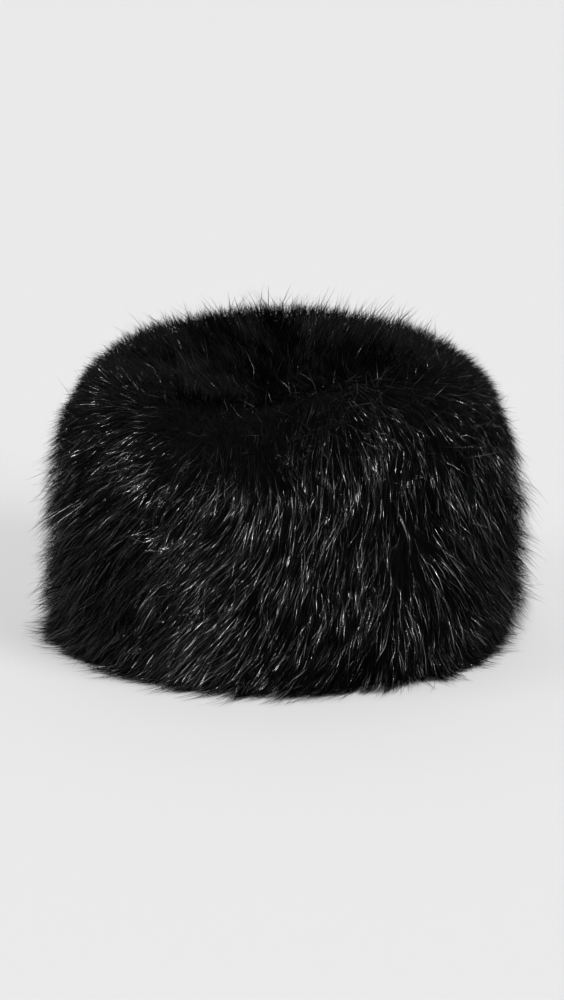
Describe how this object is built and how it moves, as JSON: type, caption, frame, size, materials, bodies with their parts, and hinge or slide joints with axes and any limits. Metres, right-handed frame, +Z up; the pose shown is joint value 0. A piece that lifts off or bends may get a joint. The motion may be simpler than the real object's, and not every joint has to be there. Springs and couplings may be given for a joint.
{
  "type": "pillbox hat",
  "caption": "Tall soft pillbox hat in black long-pile faux fur, hollow for a head, with an oval tip set into the top of a curved side band.",
  "frame": {"origin": "middle of the hat's box on the surface that its rim stands on", "axes": "+Z up from the rim to the crown, +X towards the right of the picture, across the longer way of the oval, and the front towards -Y"},
  "size_m": [0.2617, 0.2335, 0.1627],
  "materials": {
    "black_fur": "deep glossy pile",
    "black_fur_tip": "deep glossy pile"
  },
  "bodies": {
    "root": {"side_band": "black_fur", "crown_tip": "black_fur_tip"}
  },
  "joints": []
}
